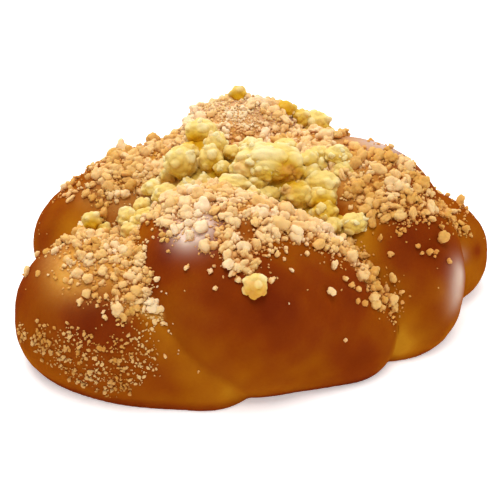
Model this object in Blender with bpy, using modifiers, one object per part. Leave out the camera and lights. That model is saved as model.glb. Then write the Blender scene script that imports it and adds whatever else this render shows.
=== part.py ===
"""A small plaited challah baked under butter crumble.

Three fat strands of dough cross over and under for one short turn of the plait, and they
bake together into one loaf with a flat sole. Crumble lies on every level stretch of crust
and in the seams, baked fast to it. Its largest lumps fill the dip between the strands as
a loose heap. The loaf with the crumbs that are stuck to it is one solid, the heap another.

Lengths in the tables are millimetres: X runs along the loaf, Y across it, Z up.
"""
import math

import bmesh
import bpy
import numpy as np
from mathutils import Euler, Matrix, Vector

MM = 0.001

# ---- the dough: each strand goes through these places (x, y, height, radius) ----
STRANDS = {
    # from the right-hand end, round behind, down into the middle and over the front
    "front": [(59, 6, 9.5, 9.5), (64.5, 12, 14.5, 12), (64.5, 20.5, 15.5, 14),
              (49, 37, 15, 14), (24, 42, 22, 18), (2, 16, 20, 16), (-14, -6, 25, 20), (-11, -20, 26, 27),
              (-3, -27, 23, 29.7), (10.5, -24, 18, 27), (26, -23, 12, 21)],
    # from under the front right, over the right-hand side, down, and over the left back
    "right": [(39, -16.5, 6.5, 14), (46.5, -8.8, 14.5, 21.5), (42, 3, 25, 23.7),
              (30.5, 21, 28.5, 24.2), (8, 30, 26, 20), (-14, 34, 21, 17), (-31, 30, 24, 21),
              (-50, 19, 18.5, 20.5), (-53, 9, 16, 17)],
    # from the right back, over the back, down through the middle, and over the left front
    "back": [(28, 54, 14, 14), (8, 50, 28, 20), (-8, 42, 31, 21.5), (-22, 6, 20, 18),
             (-41, -12, 13, 18.5), (-50, -21, 14.2, 23.5), (-36, -30.5, 14, 24), (-14, -36.5, 9, 19)],
}
FILLING = [(-44, 4, 9, 11), (-36, 11, 10, 12), (17, 4, 12, 19), (52, 22, 8, 11), (57, 12, 8, 10),
           (41, 33, 9, 11)]    # gaps between the strands that would be dents in the sole
MIDDLE = (2.9, 6.6)        # x and y of the middle of the loaf's outline
BEAD_STEP = 2.5            # the strands are laid as balls of dough this close together
SAG = 0.88                 # soft dough sinks until a ball's middle is this share of its radius up
VOXEL = 1.7                # grain at which the strands bake together
SMOOTHING = 6              # rounds of smoothing that open the seams into soft grooves
CORE_SMOOTHING = 2
GROUND = (300, 300, 40)    # the block below the loaf that cuts its sole flat
LOAF_TRIANGLES = 3700

# ---- the heap of crumble: a core in the dip, and its largest lumps ----
HEAP_CORE = {
    "middle": [(-23, 14, 36, 8), (-8, 12, 38, 12), (6, 10, 38, 14), (21, 5, 38, 11)],
    "left": [(-22, 10, 33, 8), (-35, 1, 31, 6)],
    "right": [(18, 0, 37, 8), (29, -10, 37, 6)],
    "behind left": [(-14, 16, 42, 8), (-16, 26, 48, 6)],
    "far right": [(18, 8, 42, 8), (27, 12, 46, 5)],
}
CORE_STEP = 1.5
CORE_VOXEL = 1.4
CORE_TRIANGLES = 700
LUMPS = [                  # x, y, height, half width, half depth, half height
    (-22.1, 12.0, 49.7, 5.6, 5.1, 5.4),
    (-11.1, 17.0, 53.1, 3.8, 3.5, 4.5),
    (-12.5, 12.5, 50.1, 4.3, 3.9, 5.1),
    (-16.0, 27.0, 52.8, 5.7, 4.8, 4.6),
    (-6.1, 14.0, 52.2, 2.4, 2.2, 2.2),
    (5.5, 7.0, 51.4, 11.7, 7.8, 7.2),
    (4.4, 1.0, 52.1, 3.9, 3.3, 3.0),
    (2.3, 0.0, 48.6, 3.2, 2.6, 2.4),
    (18.9, 8.0, 52.3, 3.2, 2.9, 3.2),
    (19.5, 5.0, 48.9, 3.3, 3.0, 3.2),
    (21.8, 11.5, 52.8, 2.8, 2.5, 2.4),
    (27.7, 10.0, 53.0, 4.3, 3.5, 3.2),
    (29.6, 6.0, 49.7, 3.8, 3.4, 3.1),
    (22.8, 2.0, 46.9, 5.8, 5.0, 4.6),
    (22.6, -3.0, 44.3, 5.2, 4.3, 4.0),
    (23.0, -8.0, 42.0, 4.4, 4.0, 3.8),
    (14.4, -3.0, 45.8, 5.2, 4.2, 3.9),
    (5.7, -3.0, 45.8, 3.9, 2.9, 2.6),
    (-6.0, -1.0, 48.1, 6.8, 3.2, 2.9),
    (-19.5, 5.0, 44.4, 3.1, 2.8, 2.7),
    (-14.5, 6.0, 45.5, 2.6, 2.2, 2.1),
    (-26.7, 5.0, 41.4, 4.8, 4.1, 3.8),
    (-31.5, 9.0, 41.6, 3.2, 2.8, 2.6),
    (-32.9, -2.0, 35.3, 4.8, 4.5, 4.7),
    (-37.7, -5.0, 34.3, 3.1, 2.8, 2.6),
    (31.9, -13.0, 41.5, 4.3, 3.6, 3.3),
    (1.0, 21.0, 49.5, 4.6, 4.0, 3.6),
    (11.5, 20.0, 50.0, 4.8, 4.2, 3.8),
]
FILLERS = 20               # smaller lumps between those of the list
FILLER_TRIES = 900
FILLER_FIELD = ((-42, 38), (-20, 28))      # x and y between which they are tried
FILLER_RADII = (3.2, 1.9)
FILLER_LEVEL = 0.3         # least upward share of the core's surface below one
FILLER_SUNK = 1.0          # how far the core may be below the crust where one lies
FILLER_APART = 0.85        # least distance between two, in sums of their radii
HEAP_GAP = 0.35            # air between the heap and what it lies on

# ---- the crumbs that are baked onto the crust ----
PLACED_CRUMBS = [          # x, y, radius, and height of the middle over the crust in radii
    (-4.0, 53.2, 2.9, 0.75), (-0.6, 53.6, 1.9, 0.5), (-7.0, 52.8, 1.5, 0.5), (1.4, -49.6, 3.5, 0.35),
    (-50.5, 2.8, 3.3, 0.5), (-47.2, 0.8, 2.5, 0.5), (-53.4, 1.2, 1.9, 0.5), (23.3, -41.6, 1.4, 0.5),
    (59.3, -12.8, 1.5, 0.5), (43.5, -25.0, 1.4, 0.4),
    (11.7, 49.5, 3.2, 0.4), (17.0, 48.5, 3.4, 0.5), (21.3, 49.0, 4.9, 0.5), (25.3, 49.5, 2.7, 0.9),
    (-32.5, 37.0, 2.2, 0.5), (-42.5, 34.5, 2.2, 0.5),
]
BARE_CRUST = [             # x, y and reach of places where no crumb stuck
    (-25, -37, 6), (-16, -45, 8), (15, -41, 11), (39, -18, 8), (50, -21, 10), (60, -11, 6),
    (-59, 6, 9), (-51.5, 9, 6), (-60, -35, 10), (42, 24, 12), (54, 16, 8), (-3, 42, 13),
]
CRUMBS = 122
CRUMB_TRIES = 4000
CRUMB_RADII = (2.5, 1.2)
CRUMB_SPREAD = (47.0, 42.0)    # how far the crumble reaches along and across the loaf
CRUMB_CENTRE = (2.0, 6.0)
CRUMB_FIELD = ((-78, 78), (-60, 70))       # x and y between which crumbs are tried
CRUMB_FADE = (0.7, 1.35)       # distance from the centre, in spreads, where they thin out and end
CRUMB_LEVEL = (0.62, 0.93)     # upward share of the crust where they begin to lie, and lie thick
SEAM_DROP = (2, 7)             # height over the next strand within which a place is in a seam
SEAM_FADE = (0.9, 1.6)
SEAM_LEVEL = (0.2, 0.5)
SEAM_SHARE = 0.8
STRAYS = 0.012                 # share of other places that still get a crumb
STRAY_LEVEL = (0.4, 0.6)
CRUMB_APART = 0.8              # least distance between two, in sums of their radii
CRUMB_LIFT = 0.4               # height of a crumb's middle over the crust, in radii
CRUMB_CLEAR = 0.8              # least room between a crumb and the heap
ROUGHNESS = 0.24               # how far a lump's corners are drawn in
FINE_FROM = 2.75               # radius from which a lump gets 80 faces, not 20
SEED = 7


def through(places, step):
    """Beads of a smooth Catmull-Rom line through the places, about a step apart."""
    rows = np.array(places, float)
    rows = np.vstack([2 * rows[0] - rows[1], rows, 2 * rows[-1] - rows[-2]])
    beads = []
    for a, b, c, d in zip(rows, rows[1:], rows[2:], rows[3:]):
        count = max(2, math.ceil(np.linalg.norm((c - b)[:3]) / step))
        t = np.arange(count)[:, None] / count
        beads.append(0.5 * (2 * b + (c - a) * t + (2 * a - 5 * b + 4 * c - d) * t ** 2
                            + (3 * b - a - 3 * c + d) * t ** 3))
    return np.vstack(beads + [rows[-2][None]])


DOUGH = {name: through(places, BEAD_STEP) for name, places in STRANDS.items()}
CORE = np.vstack([through(places, CORE_STEP) for places in HEAP_CORE.values()])


def top_of(beads, x, y):
    """Height of a row of balls over each place, and how level their skin is there."""
    reach = beads[:, 3] ** 2 - (x[:, None] - beads[:, 0]) ** 2 - (y[:, None] - beads[:, 1]) ** 2
    height = np.where(reach > 0, beads[:, 2] + np.sqrt(np.maximum(reach, 0)), -99.0)
    best = height.argmax(axis=1)
    top = height[np.arange(len(x)), best]
    return top, (top - beads[best, 2]) / beads[best, 3]


def crust_top(x, y):
    """Height of the loaf over each place, how level it is, and how far the next strand is below."""
    tops, levels = zip(*(top_of(beads, x, y) for beads in DOUGH.values()))
    tops, levels = np.array(tops), np.array(levels)
    order = np.argsort(-tops, axis=0)
    columns = np.arange(len(x))
    height = tops[order[0], columns]
    return height, levels[order[0], columns], height - tops[order[1], columns]


def ramp(value, low, high):
    """0 below low, 1 above high, and a smooth rise between them."""
    t = np.clip((value - low) / (high - low), 0, 1)
    return t * t * (3 - 2 * t)


def heap_distance(x, y, z):
    """Distance from each place to the heap's core and lumps."""
    lumps = np.array(LUMPS)
    fillers = [(*place, radius) for place, radius in filler_places()]
    balls = np.vstack([CORE, np.column_stack([lumps[:, :3], lumps[:, 3:].max(axis=1)]), fillers])
    apart = [np.sqrt((x - bx) ** 2 + (y - by) ** 2 + (z - bz) ** 2) - r for bx, by, bz, r in balls]
    return np.min(apart, axis=0)


def crumb_places():
    """Place on the crust, radius and lift of each crumb: the lone ones, then the largest by rule.

    Crumble lies where the crust is level and near the middle of the loaf, and in the seams.
    """
    rng = np.random.default_rng(SEED)
    x, y = (rng.uniform(*field, CRUMB_TRIES) for field in CRUMB_FIELD)
    luck = rng.uniform(0, 1, CRUMB_TRIES)
    share = np.arange(CRUMB_TRIES) / CRUMB_TRIES
    radius = CRUMB_RADII[1] + (CRUMB_RADII[0] - CRUMB_RADII[1]) * (1 - share) ** 6
    z, level, drop = crust_top(x, y)
    far = np.hypot((x - CRUMB_CENTRE[0]) / CRUMB_SPREAD[0], (y - CRUMB_CENTRE[1]) / CRUMB_SPREAD[1])
    open_crust = ramp(level, *CRUMB_LEVEL) * (1 - ramp(far, *CRUMB_FADE))
    seam = (1 - ramp(drop, *SEAM_DROP)) * (1 - ramp(far, *SEAM_FADE)) * ramp(level, *SEAM_LEVEL)
    stray = STRAYS * ramp(level, *STRAY_LEVEL)
    wanted = luck < np.maximum(open_crust, SEAM_SHARE * seam) + stray
    clear = heap_distance(x, y, z) > radius + CRUMB_CLEAR
    for bare_x, bare_y, reach in BARE_CRUST:
        clear &= np.hypot(x - bare_x, y - bare_y) > reach

    lone = np.array(PLACED_CRUMBS)
    kept = list(np.column_stack([lone[:, :2], crust_top(lone[:, 0], lone[:, 1])[0], lone[:, 2:]]))
    for i in np.flatnonzero(wanted & clear & (z > 0)):
        place = (x[i], y[i], z[i])
        if all(math.dist(place, other[:3]) > CRUMB_APART * (radius[i] + other[3])
               for other in kept):
            kept.append((*place, radius[i], CRUMB_LIFT))
        if len(kept) == CRUMBS:
            break
    return kept


def filler_places():
    """Smaller lumps over the heap's core, largest first, in the gaps that the list leaves."""
    rng = np.random.default_rng(SEED)
    x, y = (rng.uniform(*field, FILLER_TRIES) for field in FILLER_FIELD)
    share = np.arange(FILLER_TRIES) / FILLER_TRIES
    radius = FILLER_RADII[0] + (FILLER_RADII[1] - FILLER_RADII[0]) * share
    z, level = top_of(CORE, x, y)
    shows = (z > crust_top(x, y)[0] - FILLER_SUNK) & (level > FILLER_LEVEL)
    lumps = [(row[:3], sum(row[3:]) / 3) for row in LUMPS]
    count = len(lumps)
    for i in np.flatnonzero(shows):
        place = (x[i], y[i], z[i])
        if all(math.dist(place, other) > FILLER_APART * (radius[i] + size)
               for other, size in lumps):
            lumps.append((place, radius[i]))
        if len(lumps) == count + FILLERS:
            break
    return lumps[count:]


def material(name, colour, roughness):
    """A Principled finish: base colour and roughness, not metallic."""
    finish = bpy.data.materials.new(name)
    finish.use_nodes = True
    shader = finish.node_tree.nodes["Principled BSDF"]
    shader.inputs["Base Color"].default_value = (*colour, 1)
    shader.inputs["Roughness"].default_value = roughness
    shader.inputs["Metallic"].default_value = 0
    finish.diffuse_color = (*colour, 1)
    return finish


def new_object(name, bm, group, finish=None):
    """A smooth-shaded object from a bmesh, in a collection."""
    mesh = bpy.data.meshes.new(name)
    bm.to_mesh(mesh)
    bm.free()
    mesh.shade_smooth()
    obj = bpy.data.objects.new(name, mesh)
    group.objects.link(obj)
    if finish:
        mesh.materials.append(finish)
    return obj


def settle(obj):
    """Work the object's modifiers into its mesh and take them off."""
    shape = bpy.data.meshes.new_from_object(obj.evaluated_get(bpy.context.evaluated_depsgraph_get()))
    obj.modifiers.clear()
    spent, obj.data = obj.data, shape
    bpy.data.meshes.remove(spent)


def remove(objects):
    for obj in list(objects):
        bpy.data.objects.remove(obj)


def keep_outer_body(obj):
    """Drop all but the largest connected shell: sealed hollows are filled, loose scraps go."""
    bm = bmesh.new()
    bm.from_mesh(obj.data)
    left = set(bm.verts)
    shells = []
    while left:
        shell = set()
        front = {next(iter(left))}
        while front:
            shell |= front
            front = {e.other_vert(v) for v in front for e in v.link_edges} - shell
        shells.append(shell)
        left -= shell
    outer = max(shells, key=len)
    bmesh.ops.delete(bm, geom=[v for v in bm.verts if v not in outer], context="VERTS")
    bm.to_mesh(obj.data)
    bm.free()


def balls(name, beads, group, finish):
    """A row of balls as one object, not yet fused."""
    bm = bmesh.new()
    for x, y, z, radius in beads:
        place = Matrix.Translation(Vector((x - MIDDLE[0], y - MIDDLE[1], z)) * MM)
        bmesh.ops.create_icosphere(bm, subdivisions=3, radius=radius * MM, matrix=place)
    return new_object(name, bm, group, finish)


def fuse(obj, voxel, rounds, triangles):
    """Bake balls into one skin: remesh, smooth the seams, then thin to a triangle count."""
    remesh = obj.modifiers.new("fuse", "REMESH")
    remesh.mode = "VOXEL"
    remesh.voxel_size = voxel * MM
    remesh.use_smooth_shade = True
    settle(obj)
    keep_outer_body(obj)
    smooth = obj.modifiers.new("soften", "SMOOTH")
    smooth.factor = 0.5
    smooth.iterations = rounds
    triangulate = obj.modifiers.new("triangles", "TRIANGULATE")
    triangulate.quad_method = "BEAUTY"
    settle(obj)
    thin = obj.modifiers.new("thin", "DECIMATE")
    thin.ratio = min(1, triangles / len(obj.data.polygons))
    settle(obj)


def lump(name, place, sizes, rng, fineness, group, finish):
    """A knobbly ball: an icosphere whose corners are drawn in by chance, turned by chance."""
    bm = bmesh.new()
    bmesh.ops.create_icosphere(bm, subdivisions=fineness, radius=1)
    draws = rng.uniform(1 - ROUGHNESS, 1, len(bm.verts))
    turn = Euler(rng.uniform(0, 2 * math.pi, 3)).to_matrix()
    for vert, draw in zip(bm.verts, draws):
        vert.co = (turn @ vert.co) * draw
    size = Matrix.Diagonal(Vector(sizes) * MM).to_4x4()
    bm.transform(Matrix.Translation(Vector(place) * MM) @ size)
    obj = new_object(name, bm, group, finish)
    obj.data.shade_flat()
    return obj


def boolean(obj, operation, other, solver="EXACT"):
    """Join with, or cut by, an object or all of a collection, and work it in."""
    cut = obj.modifiers.new(operation.lower(), "BOOLEAN")
    cut.operation = operation
    cut.solver = solver
    if isinstance(other, bpy.types.Collection):
        cut.operand_type = "COLLECTION"
        cut.collection = other
    else:
        cut.object = other
    settle(obj)


def sagged(beads):
    """The balls of a strand, and below each that lies high the dough that sank to the tray."""
    sunk = beads[beads[:, 2] > SAG * beads[:, 3]].copy()
    sunk[:, 2] = SAG * sunk[:, 3]
    return np.vstack([beads, sunk])


def build_bread(group, tools, crust):
    """The loaf: the strands baked together, its sole cut flat on the ground."""
    strands = [sagged(strand) for strand in DOUGH.values()]
    bread = balls("bread", np.vstack(strands + [through(FILLING, BEAD_STEP)]), group, crust)
    fuse(bread, VOXEL, SMOOTHING, LOAF_TRIANGLES)
    bm = bmesh.new()
    size = Vector(GROUND) * MM
    bmesh.ops.create_cube(bm, size=1, matrix=Matrix.Translation((0, 0, -size.z / 2))
                          @ Matrix.Diagonal(size).to_4x4())
    ground = new_object("ground", bm, tools)
    boolean(bread, "DIFFERENCE", ground)
    remove([ground])
    keep_outer_body(bread)
    return bread


def add_crumbs(bread, tools, crust):
    """Crumbs set into the crust where they lie, then joined to it."""
    rng = np.random.default_rng(SEED)
    for number, (x, y, z, radius, lift) in enumerate(crumb_places()):
        middle = Vector((x - MIDDLE[0], y - MIDDLE[1], z)) * MM
        _, spot, normal, _ = bread.closest_point_on_mesh(middle)
        centre = spot / MM + normal * radius * lift
        fineness = 2 if radius > FINE_FROM else 1
        lump(f"crumb_{number:03d}", centre, (radius,) * 3, rng, fineness, tools, crust)
    boolean(bread, "UNION", tools)
    remove(tools.objects)
    keep_outer_body(bread)


def build_heap(bread, group, tools, streusel):
    """The heap: lumps joined to a core in the dip, and cut just clear of the crust below."""
    rng = np.random.default_rng(SEED)
    heap = balls("streusel_heap", CORE, group, streusel)
    fuse(heap, CORE_VOXEL, CORE_SMOOTHING, CORE_TRIANGLES)
    shift = Vector((*MIDDLE, 0))
    for number, (x, y, z, wide, deep, high) in enumerate(LUMPS):
        fineness = 2 if (wide + deep + high) / 3 > FINE_FROM else 1
        lump(f"lump_{number:02d}", Vector((x, y, z)) - shift, (wide, deep, high), rng, fineness,
             tools, streusel)
    for number, (place, radius) in enumerate(filler_places()):
        fineness = 2 if radius > FINE_FROM else 1
        lump(f"filler_{number:02d}", Vector(place) - shift, (radius,) * 3, rng, fineness, tools,
             streusel)
    boolean(heap, "UNION", tools)
    remove(tools.objects)

    grown = bpy.data.objects.new("grown_loaf", bread.data.copy())
    tools.objects.link(grown)
    swell = grown.modifiers.new("swell", "DISPLACE")
    swell.strength = HEAP_GAP * MM
    swell.mid_level = 0
    settle(grown)
    boolean(heap, "DIFFERENCE", grown)
    remove([grown])
    keep_outer_body(heap)
    return heap


def main():
    for obj in list(bpy.data.objects):
        bpy.data.objects.remove(obj)
    group = bpy.data.collections.new("challah")
    tools = bpy.data.collections.new("cutters")
    bpy.context.scene.collection.children.link(group)
    bpy.context.scene.collection.children.link(tools)
    crust = material("crust", (0.36, 0.12, 0.02), 0.35)
    streusel = material("streusel", (0.86, 0.66, 0.32), 0.85)

    bread = build_bread(group, tools, crust)
    heap = build_heap(bread, group, tools, streusel)
    add_crumbs(bread, tools, crust)
    for obj in (bread, heap):
        corners = [obj.matrix_world @ v.co for v in obj.data.vertices]
        low = [min(c[i] for c in corners) / MM for i in range(3)]
        high = [max(c[i] for c in corners) / MM for i in range(3)]
        print(obj.name, len(obj.data.polygons), "faces, from",
              [round(v, 1) for v in low], "to", [round(v, 1) for v in high], "mm")


main()
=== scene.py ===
# %% [markdown]
# # A plaited challah under butter crumble
#
# A small sweet loaf, seen from above its front. Three fat strands of dough cross for one turn
# of the plait, egg wash has baked to a gloss on them, and butter crumble lies in the dip, in
# the seams and wherever the crust is level.
#
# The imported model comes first, as a frame that every piece is placed in. Its two solids, the
# loaf and the heap of crumble, are then replaced by finer surfaces of the same form.

# %% The frame
import math

import bmesh
import bpy
import numpy as np
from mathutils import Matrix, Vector


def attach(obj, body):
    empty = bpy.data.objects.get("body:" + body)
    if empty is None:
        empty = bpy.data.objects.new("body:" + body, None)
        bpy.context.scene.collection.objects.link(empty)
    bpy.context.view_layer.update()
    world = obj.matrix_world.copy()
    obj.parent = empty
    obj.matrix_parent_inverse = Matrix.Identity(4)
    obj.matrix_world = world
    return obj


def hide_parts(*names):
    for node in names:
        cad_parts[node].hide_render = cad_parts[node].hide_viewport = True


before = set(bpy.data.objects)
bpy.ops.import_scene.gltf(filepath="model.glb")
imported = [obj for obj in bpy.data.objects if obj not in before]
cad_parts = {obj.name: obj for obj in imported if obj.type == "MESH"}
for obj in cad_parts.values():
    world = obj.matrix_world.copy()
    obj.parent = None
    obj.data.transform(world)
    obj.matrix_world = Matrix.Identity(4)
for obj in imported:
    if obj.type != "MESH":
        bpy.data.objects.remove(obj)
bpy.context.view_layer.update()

MM = 0.001
SEED = 7

# %% [markdown]
# ## Camera and light
#
# The photograph looks down on the loaf at about 31 degrees with a long lens. The places of the
# strands below were judged in a frame whose middle is the dip; MIDDLE carries them to the
# imported model's own origin, the middle of the loaf's outline.
#
# Bread is lit softly: a large bright window behind and to the left, which the coat on the crust's
# shoulders reflects, a weaker fill from the right, and a pale floor. The pale sheen on the
# shoulders is partly a painted highlight in the crust's colour.

# %% Camera
MIDDLE = np.array([2.9, 6.6, 0])
LOOK_DOWN = math.radians(31)
CAMERA_AWAY = 446 * MM
LENS = 100
AIM_HEIGHT = 24
LOOK_AT = Vector((-MIDDLE[0], -MIDDLE[1], AIM_HEIGHT)) * MM

camera_data = bpy.data.cameras.new("camera")
camera_data.lens = LENS
camera_data.clip_start = 0.01
camera = bpy.data.objects.new("camera", camera_data)
back = Vector((0, -math.cos(LOOK_DOWN), math.sin(LOOK_DOWN)))
camera.location = LOOK_AT + back * CAMERA_AWAY
camera.rotation_mode = "QUATERNION"
camera.rotation_quaternion = (-back).to_track_quat("-Z", "Y")
bpy.context.scene.collection.objects.link(camera)
bpy.context.scene.camera = camera
bpy.context.scene.view_settings.view_transform = "Standard"


# %% Lights and floor
def softbox(name, place, size, power, colour):
    """A square area light at a place in metres, turned to the middle of the loaf."""
    light = bpy.data.lights.new(name, "AREA")
    light.size = size
    light.energy = power
    light.color = colour
    lamp = bpy.data.objects.new(name, light)
    lamp.location = place
    aim = Vector((0, 0, 0.03)) - Vector(place)
    lamp.rotation_mode = "QUATERNION"
    lamp.rotation_quaternion = aim.to_track_quat("-Z", "Y")
    bpy.context.scene.collection.objects.link(lamp)


softbox("window", (-0.35, 0.55, 0.65), 0.6, 5.2, (1.0, 0.99, 0.97))
softbox("overhead", (0.0, -0.25, 0.85), 0.5, 5.2, (1.0, 0.99, 0.97))
softbox("fill_right", (0.7, 0.25, 0.25), 0.4, 1.4, (1.0, 0.97, 0.94))

world = bpy.data.worlds.new("studio")
world.use_nodes = True
world.node_tree.nodes["Background"].inputs["Color"].default_value = (1, 1, 1, 1)
world.node_tree.nodes["Background"].inputs["Strength"].default_value = 0.4
bpy.context.scene.world = world

bpy.ops.mesh.primitive_plane_add(size=6)
floor = bpy.context.object
floor.name = "floor"


# %% [markdown]
# ## Shader maths
#
# A material here is written as sums and products. `Num` wraps a socket that carries a number
# and turns + - and * into Math nodes. `Finish` makes a material and adds any other node.
# Colours are mixed by Mix nodes, because a Math node would turn them grey.

# %% Helpers for materials
class Num:
    """A number that varies over a surface, for use in ordinary Python expressions."""

    def __init__(self, tree, socket):
        self.tree, self.socket = tree, socket

    def math(self, operation, *values):
        node = self.tree.nodes.new("ShaderNodeMath")
        node.operation = operation
        for slot, value in zip(node.inputs, values):
            if isinstance(value, Num):
                self.tree.links.new(value.socket, slot)
            else:
                slot.default_value = value
        return Num(self.tree, node.outputs[0])

    def __add__(self, other):
        return self.math("ADD", self, other)

    def __sub__(self, other):
        return self.math("SUBTRACT", self, other)

    def __mul__(self, other):
        return self.math("MULTIPLY", self, other)

    def clamped(self):
        return self.math("MINIMUM", self.math("MAXIMUM", self, 0.0), 1.0)

    __radd__ = __add__
    __rmul__ = __mul__


def srgb(red, green, blue):
    """A colour as a screen shows it, 0 to 255, as the linear values that a shader takes."""
    parts = [value / 255 for value in (red, green, blue)]
    return tuple(p / 12.92 if p <= 0.04045 else ((p + 0.055) / 1.055) ** 2.4 for p in parts)


class Finish:
    """A Principled material whose linked sockets are fed by expressions."""

    def __init__(self, name, **constants):
        self.material = bpy.data.materials.new(name)
        self.material.use_nodes = True
        self.tree = self.material.node_tree
        self.shader = self.tree.nodes["Principled BSDF"]
        for socket, value in constants.items():
            self.shader.inputs[socket.replace("_", " ")].default_value = value
        self.object_place = self.node("ShaderNodeTexCoord").outputs["Object"]

    def node(self, kind, settings=None, **values):
        """Any node: its settings are set first, then its sockets' values or links."""
        node = self.tree.nodes.new(kind)
        for key, value in (settings or {}).items():
            setattr(node, key, value)
        for key, value in values.items():
            self.set(node.inputs[key.replace("_", " ")], value)
        return node

    def set(self, slot, value):
        if isinstance(value, Num):
            self.tree.links.new(value.socket, slot)
        elif isinstance(value, bpy.types.NodeSocket):
            self.tree.links.new(value, slot)
        elif isinstance(value, tuple) and len(value) == 3 and slot.type == "RGBA":
            slot.default_value = (*value, 1)
        else:
            slot.default_value = value

    def attribute(self, name):
        """A number stored at the mesh's points."""
        node = self.node("ShaderNodeAttribute", {"attribute_name": name})
        return Num(self.tree, node.outputs["Fac"])

    def noise(self, size_mm, detail=3.0, roughness=0.5):
        """Clouds whose lumps are about size_mm wide, from 0 to 1 round 0.5."""
        node = self.node("ShaderNodeTexNoise", Vector=self.object_place, Scale=1 / (size_mm * MM),
                         Detail=detail, Roughness=roughness)
        return Num(self.tree, node.outputs["Fac"])

    def step(self, value, low, high):
        """0 below low, 1 above high, and a smooth rise between them."""
        node = self.node("ShaderNodeMapRange", {"interpolation_type": "SMOOTHSTEP"},
                         Value=value, From_Min=low, From_Max=high)
        return Num(self.tree, node.outputs["Result"])

    def mix(self, share, first, second):
        """A colour that goes from the first to the second as share goes from 0 to 1."""
        node = self.node("ShaderNodeMix", {"data_type": "RGBA"})
        self.set(node.inputs[0], share)
        self.set(node.inputs[6], first)
        self.set(node.inputs[7], second)
        return node.outputs[2]

    def ramp(self, value, stops):
        """A colour looked up along a row of (place, colour) stops."""
        node = self.node("ShaderNodeValToRGB", Fac=value)
        elements = node.color_ramp.elements
        while len(elements) < len(stops):
            elements.new(1.0)
        for element, (place, colour) in zip(elements, stops):
            element.position = place
            element.color = (*colour, 1)
        return node.outputs["Color"]

    def bump(self, height, depth_mm):
        """Fine relief: a height of 1 stands depth_mm out of the surface."""
        node = self.node("ShaderNodeBump", Height=height, Strength=1.0, Distance=depth_mm * MM)
        return node.outputs["Normal"]

    def feed(self, **sockets):
        for key, value in sockets.items():
            self.set(self.shader.inputs[key.replace("_", " ")], value)
        return self.material


floor_finish = Finish("floor", Roughness=0.8, Specular_IOR_Level=0.0, Emission_Strength=0.4,
                      Emission_Color=(1, 1, 1, 1))
floor_finish.feed(Base_Color=floor_finish.mix(floor_finish.noise(180), (0.93, 0.93, 0.93),
                                              (0.95, 0.95, 0.95)))
floor.data.materials.append(floor_finish.material)

# %% [markdown]
# ## The strands
#
# A baker rolls three ropes, fat in the middle and thin at the ends, and crosses them. Each rope
# is given by the few places it goes through, with its radius there, and a Catmull-Rom line
# joins them: the slope at each place is that of the chord between its two neighbours.
#
# Soft dough sinks to the tray, so a ball of dough whose middle is high reaches down as an
# upright capsule until its lower middle is only SAG times its radius above the tray.

# %% Strands as rows of balls
STRANDS = {
    # x, y, height and radius in millimetres, along each rope
    "front": [(59, 6, 9.5, 9.5), (64.5, 12, 14.5, 12), (64.5, 20.5, 15.5, 14), (49, 37, 15, 14),
              (24, 42, 22, 18), (2, 16, 20, 16), (-14, -6, 25, 20), (-11, -20, 26, 27),
              (-3, -27, 23, 29.7), (10.5, -24, 18, 27), (26, -23, 12, 21)],
    "right": [(39, -16.5, 6.5, 14), (46.5, -8.8, 14.5, 21.5), (42, 3, 25, 23.7),
              (30.5, 21, 28.5, 24.2), (8, 30, 26, 20), (-14, 34, 21, 17), (-31, 30, 24, 21),
              (-50, 19, 18.5, 20.5), (-53, 9, 16, 17)],
    "back": [(28, 54, 14, 14), (8, 50, 28, 20), (-8, 42, 31, 21.5), (-22, 6, 20, 18),
             (-41, -12, 13, 18.5), (-50, -21, 14.2, 23.5), (-36, -30.5, 14, 24),
             (-14, -36.5, 9, 19)],
}
# dough that was squeezed into the gaps between the ropes
FILLING = [(-44, 4, 9, 11), (-36, 11, 10, 12), (17, 4, 12, 19), (52, 22, 8, 11), (57, 12, 8, 10),
           (41, 33, 9, 11)]
BEAD_STEP = 2.5
SAG = 0.88


def through(places, step):
    """Points of a smooth Catmull-Rom line through the places, about a step apart."""
    rows = np.array(places, float)
    rows = np.vstack([2 * rows[0] - rows[1], rows, 2 * rows[-1] - rows[-2]])
    beads = []
    for a, b, c, d in zip(rows, rows[1:], rows[2:], rows[3:]):
        count = max(2, math.ceil(np.linalg.norm((c - b)[:3]) / step))
        t = np.arange(count)[:, None] / count
        beads.append(0.5 * (2 * b + (c - a) * t + (2 * a - 5 * b + 4 * c - d) * t ** 2
                            + (3 * b - a - 3 * c + d) * t ** 3))
    return np.vstack(beads + [rows[-2][None]])


DOUGH = {name: through(places, BEAD_STEP) for name, places in STRANDS.items()}
for strand_name, strand in DOUGH.items():
    thickest = round(strand[:, 3].max() * 2)
    print(strand_name, "strand:", len(strand), "balls, up to", thickest, "mm thick")

# %% [markdown]
# ## From ropes to one skin
#
# The distance from a point to a rope is the distance to its nearest ball. Where two ropes meet,
# a smooth minimum of their distances closes the crease with a small fillet, as dough that was
# pressed together does. Its formula is min(a, b) less a bump that is widest where a equals b.


# %% Distance to the dough
def to_rope(points, beads):
    """Distance to a rope of upright capsules, and the direction away from it."""
    best = np.full(len(points), 1e9)
    away = np.zeros_like(points)
    low = np.minimum(beads[:, 2], SAG * beads[:, 3])
    for (x, y, high, radius), bottom in zip(beads, low):
        arm = points - (x, y, 0)
        arm[:, 2] -= np.clip(points[:, 2], bottom, high)
        length = np.sqrt(np.einsum("ij,ij->i", arm, arm))
        nearer = length - radius < best
        best[nearer] = length[nearer] - radius
        away[nearer] = arm[nearer] / np.maximum(length[nearer], 1e-9)[:, None]
    return best, away


def blend(first, second, width):
    """Smooth minimum of two (distance, direction) pairs over a width in millimetres."""
    share = np.clip(0.5 + 0.5 * (second[0] - first[0]) / width, 0, 1)
    distance = second[0] + (first[0] - second[0]) * share - width * share * (1 - share)
    direction = second[1] + (first[1] - second[1]) * share[:, None]
    return distance, direction


FILLET = 0.9


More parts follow.
